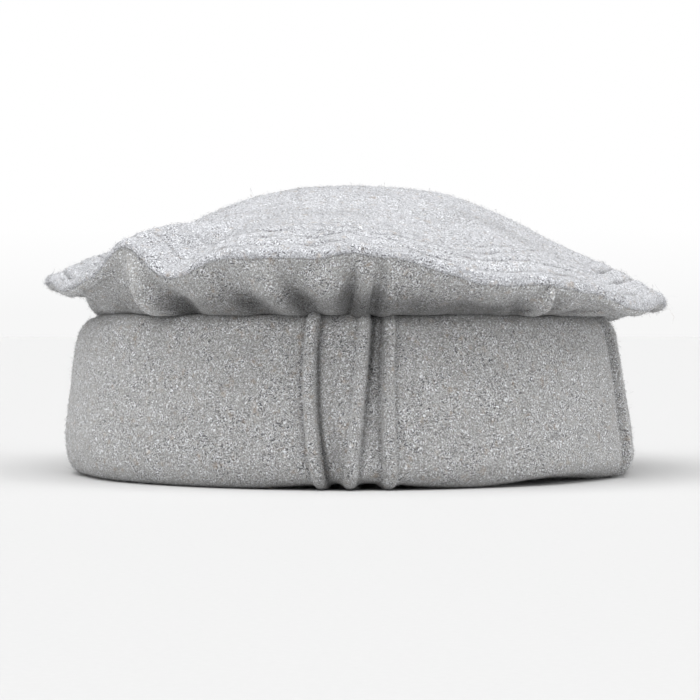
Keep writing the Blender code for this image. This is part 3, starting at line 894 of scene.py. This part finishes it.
def neck_painted_shade(azimuth, up):
    """Shade painted on the neck: darker down towards the crease and in its hollows, lighter on its ridges."""
    shade = (0.13 + 0.86 * ease(1.5 * (1.0 - up))) * swell(azimuth, 2.0, 92.0)
    crease = 0.16 * ease(1.0 - 4.0 * up) * swell(azimuth, 2.0, 70.0)
    return shade + crease - 0.58 * neck_push(azimuth, up) * ease(3.0 * (1.0 - up))


def sleeve_path(sizes, azimuth):
    """Knots along the sleeve's cloth and its stations as arrays, one row to a station."""
    stations = sleeve_stations(sizes, azimuth)
    radius = np.array([station.radius for station in stations])
    height = np.array([station.height for station in stations])
    run = np.hypot(np.diff(radius, axis=0), np.diff(height, axis=0)).mean(axis=1)
    knots = np.concatenate([[0.0], np.cumsum(run)])
    shares = np.array([[s.up, s.rib, s.neck_rib, s.lean] for s in stations])
    return knots, radius, height, shares


def sleeve_side(sizes, azimuth, path, at, side):
    """Points on one side of the sleeve's cloth, and the shade painted at each of them.

    Side 1 is the one that ends as the band's face, and -1 is the other, which shows at the neck.
    """
    knots, radius, height, shares = path
    mid_radius = smooth(knots, radius, at)
    mid_height = smooth(knots, height, at)
    step = 0.0004
    ahead = np.minimum(at + step, knots[-1])
    behind = np.maximum(at - step, 0.0)
    way_out = smooth(knots, radius, ahead) - smooth(knots, radius, behind)
    way_up = smooth(knots, height, ahead) - smooth(knots, height, behind)
    length = np.maximum(np.hypot(way_out, way_up), 1e-9)
    face_out = way_up / length
    face_up = -way_out / length
    up, rib, neck_rib, lean = (np.interp(at, knots, column)[:, None] for column in shares.T)
    turned = np.array([shifted_azimuth(sizes, azimuth, share) for share in up[:, 0]])
    half = sizes.cloth / 2.0
    out = mid_radius + side * face_out * half
    high = mid_height + side * face_up * half
    shift = sizes.crown_shift * (1.0 - lean)
    points = place(out, high, turned, shift)
    if side > 0:
        lie = np.interp(azimuth, LIE_AZIMUTHS, LIE_HEIGHTS) * np.minimum(rib * 1.2, 1.0)
        lift = ridge(sizes, turned, up, [r.out for r in RIBS]) * rib + lie
        lift = lift + uneven(points, *BAND_LUMPS) * np.minimum(rib * 1.5 + 0.2, 1.0)
        upright = ease((up - 0.68) / 0.2)
        out = out + lift * mix(1.0, face_out, upright)
        high = high + lift * face_up * upright
        low = 1.0 - ease(up / 0.07)
        near = np.abs(at[:, None] - knots[FOOT_STATION]) < FOOT_REACH
        high = high + low * foot_arch(sizes, turned) * near
        # Shade painted on the band's face
        pressed = band_painted_shade(sizes, turned, up)
    else:
        lift = ridge(sizes, turned + NECK_RIB_TURN, up, [r.neck for r in RIBS], 1.4) * neck_rib
        folds = uneven(place(np.ones_like(out), 0.012 * out, turned), NECK_GATHERS)
        folds = folds + uneven(points, *NECK_LUMPS)
        lift = lift + folds * np.minimum(4.0 * lean * (1.0 - lean) + 0.1, 1.0)
        out = out - lift * face_out
        high = high - lift * face_up
        # Shade painted on the neck
        pressed = neck_painted_shade(turned, lean)
    return place(out, np.maximum(high, 0.0), turned, shift), np.clip(pressed, 0.0, 1.0)


def path_steps(start, end, step):
    """Even places along the cloth from a start to an end, with the end left out."""
    return np.linspace(start, end, max(int(round(abs(end - start) / step)), 1), endpoint=False)


def build_sleeve(context):
    """Side of the cap: neck, wall and rolled band in one cloth."""
    sizes = context.scene.pakol_sizes
    azimuth = column_azimuths(SLEEVE_STEP, PINTUCK_STEP)
    path = sleeve_path(sizes, azimuth)
    knots = path[0]
    end = knots[-1]
    crease = knots[CREASE_STATION]
    foot = mix(knots[FOOT_STATION - 2], knots[FOOT_STATION - 1], 0.6)
    top = knots[TOP_STATION + 2]
    # Side of the cloth, from and to where along it, step, every how many cross sections, and nap
    strips = (
        (1, 0.0, crease, 0.004, 2, 0.0),
        (1, crease, foot, 0.003, 2, 0.5),
        (1, foot, top, 0.00125, 1, 1.0),
        (1, top, end, 0.005, 2, 0.0),
        (1, end, end, 0.005, 2, 0.0),
        (-1, end, crease, 0.005, 2, 0.0),
        (-1, crease, 0.0, 0.0012, 1, 1.0),
        (-1, 0.0, 0.0, 0.004, 2, 0.0),
    )
    rings, pressed, nap = [], [], []
    for side, start, stop, step, stride, thick in strips:
        at = path_steps(start, stop, step)
        points, dimming = sleeve_side(sizes, azimuth, path, at, side)
        rings += [ring[::stride] for ring in points]
        pressed += [row[::stride] for row in dimming]
        nap += [thick] * len(points)
    return skin("sleeve_cloth", rings, pressed, True, nap)


class PAKOL_OT_sleeve(Operator):
    """Lay the sleeve's cloth: the gathered neck, the wall and the rolled band with its pintucks"""

    bl_idname = "pakol.sleeve"
    bl_label = "Sleeve"

    def execute(self, context):
        colours = context.scene.pakol_colours
        piece = build_sleeve(context)
        material = fulled_wool("fulled_wool_sleeve", tuple(colours.band_grey), colours, 0.95)
        finish_piece(piece, material, "rolled_sleeve")
        return {"FINISHED"}


# Stitching

STITCH_STRAY = 0.10     # how far a stitch strays along its row, in degrees round the crown
STITCH_SUNK = 0.00012   # how deep it lies in the cloth, give or take as much
STITCH_SHOWS = 0.72     # share of the stitch's length that lies on top of the cloth


def thread_stitches(name, centres, aheads, ups, length, thick):
    """Joined short threads, each pointed at both ends, along the ways given at their centres."""
    sides = np.cross(aheads, ups)
    verts = []
    shares = (-0.5, -0.3, 0.3, 0.5)
    widths = (0.35, 1.0, 1.0, 0.35)
    for share, width in zip(shares, widths):
        dip = -0.25 * thick * (abs(share) > 0.4)
        middle = centres + aheads * (share * length) + ups * dip
        for turn in range(5):
            angle = 2.0 * np.pi * turn / 5.0
            verts.append(middle + 0.5 * thick * width * (np.cos(angle) * sides + np.sin(angle) * ups))
    points = np.stack(verts, axis=1).reshape(-1, 3)
    faces = [
        [5 * row + turn, 5 * row + after, 5 * row + 5 + after, 5 * row + 5 + turn]
        for row in range(3) for turn, after in enumerate((1, 2, 3, 4, 0))
    ]
    starts = 20 * np.arange(len(centres))[:, None]
    quads = (np.array(faces) + starts[:, None]).reshape(-1, 4).tolist()
    ends = []
    for cap in ([4, 3, 2, 1, 0], [15, 16, 17, 18, 19]):
        ends += (np.array(cap) + starts).tolist()
    return smooth_mesh(name, points, quads + ends)


def unit(ways):
    """Arrows of length one along an array of ways."""
    return ways / np.maximum(np.linalg.norm(ways, axis=-1, keepdims=True), 1e-12)


class PAKOL_OT_stitching(Operator):
    """Sew the rows of stitches round the crown"""

    bl_idname = "pakol.stitching"
    bl_label = "Stitching"

    def execute(self, context):
        sizes = context.scene.pakol_sizes
        stitches = context.scene.pakol_stitches
        centres, aheads, ups = [], [], []
        chance = np.random.default_rng(41)
        for row, radius in enumerate(stitch_radii(sizes, stitches)):
            count = round(2.0 * np.pi * radius / stitches.length)
            azimuth = (np.arange(count) * 360.0 - np.degrees(1.7 * row)) / count
            azimuth = azimuth + chance.normal(0.0, STITCH_STRAY, count)
            away = chance.normal(0.0, STITCH_SUNK, count)
            out = np.array([radius / sizes.crown_round])
            near = np.stack([
                crown_surface(sizes, stitches, out[:, None] + shift, azimuth[None, :])[0]
                for shift in (-0.004, 0.0, 0.004)
            ])
            beside = crown_surface(sizes, stitches, out[:, None], azimuth[None, :] + 0.5)[0]
            ahead = unit(beside - near[1])
            up = unit(np.cross(ahead, near[0] - near[2]))
            up = up * np.sign(up[:, 2:3])
            centres.append(near[1] + up * (away[:, None] - STITCH_SUNK))
            aheads.append(ahead)
            ups.append(up)
        piece = thread_stitches(
            "crown_stitches", np.concatenate(centres), np.concatenate(aheads), np.concatenate(ups),
            STITCH_SHOWS * stitches.length, stitches.thread,
        )
        material = spun_thread("spun_thread", tuple(context.scene.pakol_colours.thread_grey))
        finish_piece(piece, material)
        return {"FINISHED"}


# Loose wool

def scatter(piece, count, chance, low, high):
    """Places at random over the parts of a piece that carry nap, between two heights.

    Each comes with its outward way and the shade painted there, which on the crown takes in its worn patches.
    """
    data = piece.data
    data.calc_loop_triangles()
    total = len(data.loop_triangles)
    corners = np.empty(3 * total, int)
    owner = np.empty(total, int)
    data.loop_triangles.foreach_get("vertices", corners)
    data.loop_triangles.foreach_get("polygon_index", owner)
    points = np.empty(3 * len(data.vertices))
    data.vertices.foreach_get("co", points)
    nap = np.empty(len(data.polygons))
    data.attributes["nap"].data.foreach_get("value", nap)
    pressed = np.empty(len(data.vertices))
    data.attributes["pressed"].data.foreach_get("value", pressed)
    corners = corners.reshape(-1, 3)
    triangles = points.reshape(-1, 3)[corners]
    cross = np.cross(triangles[:, 1] - triangles[:, 0], triangles[:, 2] - triangles[:, 0])
    level = triangles.mean(axis=1)[:, 2]
    weight = np.linalg.norm(cross, axis=1) * nap[owner] * ((level > low) & (level < high))
    picked = chance.choice(total, count, p=weight / weight.sum())
    share = chance.random((count, 2))
    share = np.where(share.sum(axis=1, keepdims=True) > 1.0, 1.0 - share, share)
    chosen = triangles[picked]
    spots = chosen[:, 0] + share[:, :1] * (chosen[:, 1] - chosen[:, 0])
    spots = spots + share[:, 1:] * (chosen[:, 2] - chosen[:, 0])
    return spots, unit(cross[picked]), pressed[corners[picked]].mean(axis=1)


def fibres(name, spots, ups, pressed, chance, length, width, lift):
    """Joined fibres: each starts in the cloth, bows over it and ends in a point."""
    count = len(spots)
    ahead = unit(np.cross(unit(chance.normal(size=(count, 3))), ups))
    side = np.cross(ahead, ups)
    long = (length * chance.lognormal(0.0, 0.38, count))[:, None]
    rise = (lift * chance.lognormal(-0.5, 0.75, count))[:, None]
    bow = chance.normal(0.0, 0.22, (count, 1))
    middle = spots + ahead * long * 0.5 + side * bow * long + ups * rise
    tip_rise = rise * chance.uniform(-0.3, 1.7, (count, 1))
    tip = spots + ahead * long * chance.uniform(0.75, 1.0, (count, 1)) + ups * tip_rise
    root = spots - ups * 0.0002
    thick = (0.5 * width * chance.lognormal(0.0, 0.25, count))[:, None]
    ring = [
        middle + thick * (np.cos(turn) * side + np.sin(turn) * ups)
        for turn in np.radians((90.0, 210.0, 330.0))
    ]
    points = np.stack([root, *ring, tip], axis=1).reshape(-1, 3)
    points[:, 2] = np.maximum(points[:, 2], 0.0)
    shape = np.array([[0, 2, 1], [0, 3, 2], [0, 1, 3], [4, 1, 2], [4, 2, 3], [4, 3, 1]])
    faces = (shape[None] + 5 * np.arange(count)[:, None, None]).reshape(-1, 3)
    return smooth_mesh(name, points, faces.tolist(), np.repeat(pressed, 5))


class PAKOL_OT_fibres(Operator):
    """Scatter the short loose fibres over the crown, the band and the neck"""

    bl_idname = "pakol.fibres"
    bl_label = "Fibres"

    def execute(self, context):
        sizes = context.scene.pakol_sizes
        look = context.scene.pakol_fibres
        colours = context.scene.pakol_colours
        chance = np.random.default_rng(17)
        pale = loose_wool("loose_wool_crown", tuple(colours.crown_grey), colours)
        mid = loose_wool("loose_wool_sleeve", tuple(colours.band_grey), colours)
        band = (-1.0, sizes.band_high)
        neck = (sizes.band_high - 0.002, 1.0)
        crown = (-1.0, 1.0)
        groups = (
            ("crown_fibres", "crown_cloth", look.crown_count, pale, "pale_wool", crown, 1.0),
            ("band_fibres", "sleeve_cloth", look.band_count, mid, "grey_wool", band, 1.0),
            ("neck_fibres", "sleeve_cloth", look.neck_count, mid, "grey_wool", neck, 1.0),
            ("crown_hairs", "crown_cloth", look.hair_count, pale, "pale_wool", crown, 3.0),
            ("band_hairs", "sleeve_cloth", look.hair_count, mid, "grey_wool", band, 3.0),
        )
        for name, host, count, material, slot, levels, reach in groups:
            spots, ups, pressed = scatter(fetch(host), count, chance, *levels)
            size = (reach * look.length, look.width, reach * look.lift)
            piece = fibres(name, spots, ups, pressed, chance, *size)
            finish_piece(piece, material)
        return {"FINISHED"}


# Stage

FLOOR_HALF = 6.0
FLOOR_GAP = 0.0002      # from the cap's foot down to the floor
EYE_AWAY = 1.0          # from the middle of the cap to the camera
EYE_HIGH = 0.064        # the camera is level with the band's top
EYE_DROP = 0.01454815   # and looks down by this angle, in radians
LENS = 125.5            # focal length and width of the film, in millimetres
FILM_WIDE = 36.0


class PAKOL_OT_stage(Operator):
    """Set the pale floor, the soft studio lights and the camera"""

    bl_idname = "pakol.stage"
    bl_label = "Stage"

    def execute(self, context):
        scene = context.scene
        data = bpy.data.meshes.new("floor")
        corners = [(x * FLOOR_HALF, y * FLOOR_HALF, 0.0) for x, y in ((-1, -1), (1, -1), (1, 1), (-1, 1))]
        data.from_pydata(corners, [], [(0, 1, 2, 3)])
        floor = put("floor", data)
        floor.location.z = -FLOOR_GAP
        data.materials.append(matt_paper("matt_paper"))

        world = bpy.data.worlds.new("studio")
        world.use_nodes = True
        tree = world.node_tree
        tree.nodes.clear()
        where = add(tree, "ShaderNodeTexCoord").outputs["Generated"]
        height = add(tree, "ShaderNodeSeparateXYZ", {}, {"Vector": where}).outputs["Z"]
        glow = [(0.0, grey(0.93)), (0.035, grey(1.0)), (0.14, grey(1.0)), (0.22, grey(0.22))]
        fall = add(tree, "ShaderNodeValToRGB", {"stops": glow}, {"Fac": height})
        sky = add(tree, "ShaderNodeBackground", {"Strength": 1.0}, {"Color": fall.outputs[0]})
        add(tree, "ShaderNodeOutputWorld", {}, {"Surface": sky.outputs[0]})
        scene.world = world
        for name, way, spread, power in (
            ("overhead_softbox", (-0.12, -0.36, 1.0), 75.0, 3.28),
            ("left_softbox", (-1.0, -0.30, 0.42), 45.0, 0.56),
            ("right_softbox", (1.0, -0.25, 0.45), 45.0, 1.04),
        ):
            light = bpy.data.lights.new(name, "SUN")
            light.angle = np.radians(spread)
            light.energy = power
            lamp = put(name, light)
            lamp.location = way
            lamp.rotation_euler = Vector(way).to_track_quat("Z", "Y").to_euler()

        camera = put("camera", bpy.data.cameras.new("camera"))
        camera.location = (-context.scene.pakol_sizes.crown_shift, -EYE_AWAY, EYE_HIGH)
        camera.rotation_euler = (np.pi / 2.0 - EYE_DROP, 0.0, 0.0)
        camera.data.lens = LENS
        camera.data.sensor_width = FILM_WIDE
        scene.camera = camera
        scene.view_settings.view_transform = "Standard"
        return {"FINISHED"}


class PAKOL_PT_panel(Panel):
    """Steps that dress the pakol"""

    bl_idname = "PAKOL_PT_panel"
    bl_label = "Pakol"
    bl_space_type = "VIEW_3D"
    bl_region_type = "UI"
    bl_category = "Pakol"

    def draw(self, context):
        column = self.layout.column()
        for step in STEPS:
            column.operator(step.bl_idname)
        for group in GROUPS:
            settings = getattr(context.scene, group)
            for name in settings.bl_rna.properties.keys()[1:]:
                column.prop(settings, name)


STEPS = (PAKOL_OT_crown, PAKOL_OT_sleeve, PAKOL_OT_stitching, PAKOL_OT_fibres, PAKOL_OT_stage)
GROUPS = {
    "pakol_sizes": PakolSizes,
    "pakol_stitches": PakolStitches,
    "pakol_colours": PakolColours,
    "pakol_fibres": PakolFibres,
}
CLASSES = (*GROUPS.values(), *STEPS, PAKOL_PT_panel)


def register():
    """Make the classes known and hang the settings on the scene."""
    for kind in CLASSES:
        bpy.utils.register_class(kind)
    for name, kind in GROUPS.items():
        setattr(bpy.types.Scene, name, PointerProperty(type=kind))


def unregister():
    """Take the settings and classes away again."""
    for name in GROUPS:
        delattr(bpy.types.Scene, name)
    for kind in reversed(CLASSES):
        bpy.utils.unregister_class(kind)


def main():
    """Dress the cap step by step."""
    register()
    bpy.ops.pakol.crown()
    bpy.ops.pakol.sleeve()
    bpy.ops.pakol.stitching()
    bpy.ops.pakol.fibres()
    bpy.ops.pakol.stage()


if __name__ == "__main__":
    main()
